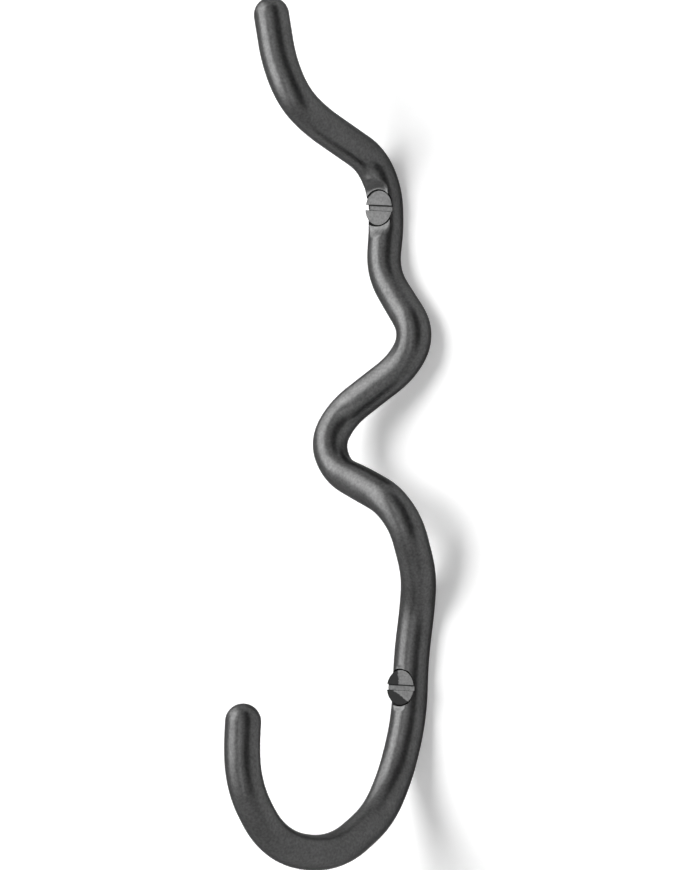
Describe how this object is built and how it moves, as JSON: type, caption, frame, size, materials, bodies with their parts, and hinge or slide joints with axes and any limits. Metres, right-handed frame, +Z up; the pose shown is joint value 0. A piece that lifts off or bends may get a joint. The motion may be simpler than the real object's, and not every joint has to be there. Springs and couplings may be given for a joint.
{
  "type": "wall hook",
  "caption": "Wavy round-bar wall hook with an arm at the top and a deep hook at the foot, screwed to the wall with slotted countersunk screws.",
  "frame": {"origin": "on the wall plane, midway between the two screws' axes", "axes": "+Z up along the wall, +Y into the wall, along the screws; the hook stands out from the wall towards -Y"},
  "size_m": [0.0316, 0.0916, 0.2075],
  "materials": {
    "blackened_bar": "blackened, satin, lightly burnished",
    "blackened_screw": "blackened, satin, turned"
  },
  "bodies": {
    "root": {"hook_bar": "blackened_bar", "upper_screw": "blackened_screw", "lower_screw": "blackened_screw"}
  },
  "joints": []
}
